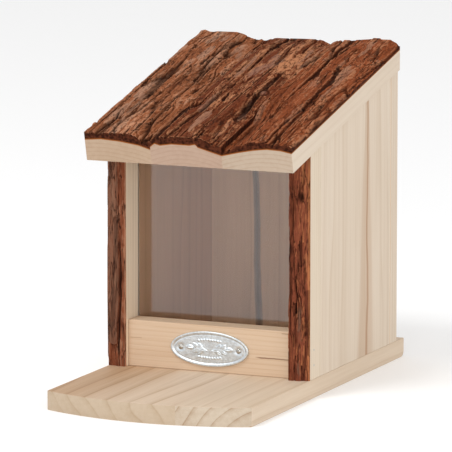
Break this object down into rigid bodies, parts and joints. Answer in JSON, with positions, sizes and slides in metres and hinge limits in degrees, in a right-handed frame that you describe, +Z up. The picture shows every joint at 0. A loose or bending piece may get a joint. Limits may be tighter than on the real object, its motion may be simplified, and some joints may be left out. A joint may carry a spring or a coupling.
{
  "type": "birdhouse feeder",
  "caption": "Wooden feeder house with a clear front pane, a bowed porch and a sloping bark-covered roof that swings open on hinges at the back.",
  "frame": {"origin": "centre of the base's underside, taken over the whole length from the porch's edge to the ledge at the back", "axes": "+X to the right as seen from the front, +Y from the porch to the back, +Z up"},
  "size_m": [0.173, 0.332, 0.26],
  "materials": {
    "pine_base_left": "planed, bare",
    "pine_base_right": "planed, bare",
    "pine_wall": "planed, bare",
    "pine_post": "planed, bare",
    "pine_back": "planed, bare",
    "pine_rail": "planed, bare",
    "pine_roof": "sawn, bare",
    "post_bark": "rough bark",
    "roof_bark": "rough bark",
    "clear_pane": "clear, smooth",
    "zinc_plate": "pressed, satin",
    "zinc_nails": "satin",
    "zinc_screws": "satin",
    "hinge_brass": "plated, satin",
    "hinge_pin": "satin",
    "hinge_screws": "plated, satin"
  },
  "bodies": {
    "house": {"base_board_left": "pine_base_left", "base_board_right": "pine_base_right", "side_wall_left": "pine_wall", "side_wall_right": "pine_wall", "front_post_left": "pine_post", "front_post_right": "pine_post", "post_bark_left": "post_bark", "post_bark_right": "post_bark", "back_board_left": "pine_back", "back_board_right": "pine_back", "front_rail": "pine_rail", "window_pane": "clear_pane", "oval_plate": "zinc_plate", "plate_nails": "zinc_nails", "rail_nails": "zinc_nails", "back_nails": "zinc_nails", "base_screws": "zinc_screws", "hinge_body_leaf_left": "hinge_brass", "hinge_body_leaf_right": "hinge_brass", "hinge_pin_left": "hinge_pin", "hinge_pin_right": "hinge_pin", "hinge_body_screws": "hinge_screws"},
    "roof": {"roof_board_left": "pine_roof", "roof_board_middle": "pine_roof", "roof_board_right": "pine_roof", "roof_bark_left": "roof_bark", "roof_bark_middle": "roof_bark", "roof_bark_right": "roof_bark", "hinge_roof_leaf_left": "hinge_brass", "hinge_roof_leaf_right": "hinge_brass", "hinge_roof_screws": "hinge_screws"}
  },
  "joints": [
    {"name": "roof_hinge", "type": "hinge", "parent": "house", "child": "roof", "pos_m": [0, 0.15255, 0.23515], "axis": [-1, 0, 0], "range_deg": [0, 175]}
  ]
}
